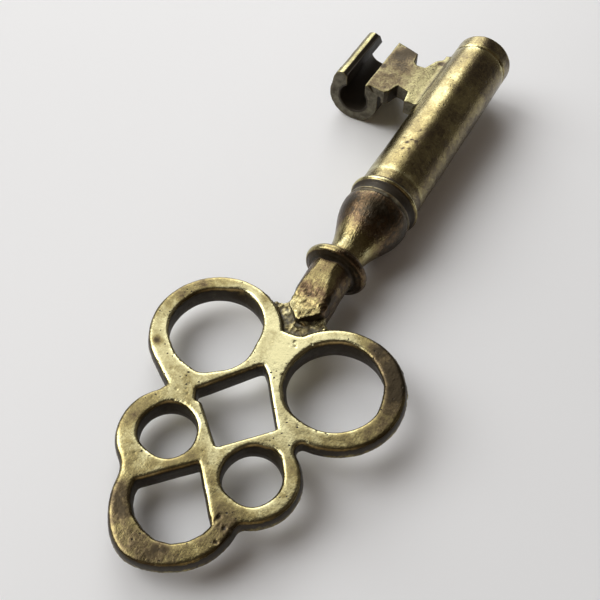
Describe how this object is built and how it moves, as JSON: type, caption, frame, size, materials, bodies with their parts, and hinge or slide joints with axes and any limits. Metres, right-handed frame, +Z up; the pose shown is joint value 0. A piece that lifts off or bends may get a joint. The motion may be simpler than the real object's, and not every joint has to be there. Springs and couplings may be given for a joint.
{
  "type": "key",
  "caption": "Cast brass key with a pierced ring bow, a turned shank and a fat barrel that pulls off as the sheath of a corkscrew; its notched bit ends in a C-shaped cap-lifter jaw.",
  "frame": {"origin": "middle of the foot of the key's box: the level of the mouth ring's and the jaw's lowest points, halfway along and across", "axes": "+X along the key from the bow to the barrel's end, +Y across towards the bit, +Z up, square to the bow's flat face"},
  "size_m": [0.1554, 0.0582, 0.0169],
  "materials": {
    "bow_brass": "cast and filed, worn bright on the face, dark in the pits and holes",
    "shank_brass": "turned, tarnished brown, filed flat left bright",
    "spigot_brass": "turned, clean",
    "worm_steel": "drawn wire, dull",
    "pin_brass": "riveted flush",
    "mouth_brass": "turned, worn, dark in the groove",
    "barrel_brass": "polished by handling, brown tarnish, fine dark pits",
    "bit_brass": "cast and filed, dull, black inside the jaw",
    "cap_brass": "turned, rim worn round"
  },
  "bodies": {
    "handle": {"bow": "bow_brass", "shank": "shank_brass", "spigot": "spigot_brass", "corkscrew": "worm_steel", "corkscrew_pin": "pin_brass"},
    "mouth": {"mouth_ring": "mouth_brass"},
    "sheath": {"barrel": "barrel_brass", "bit": "bit_brass", "end_cap": "cap_brass"}
  },
  "joints": [
    {"name": "sheath_pull", "type": "slide", "parent": "handle", "child": "mouth", "axis": [1, 0, 0], "range_m": [0, 0.06]},
    {"name": "sheath_turn", "type": "hinge", "parent": "mouth", "child": "sheath", "pos_m": [0.01515, -0.00165, 0.00845], "axis": [1, 0, 0], "continuous": true}
  ]
}
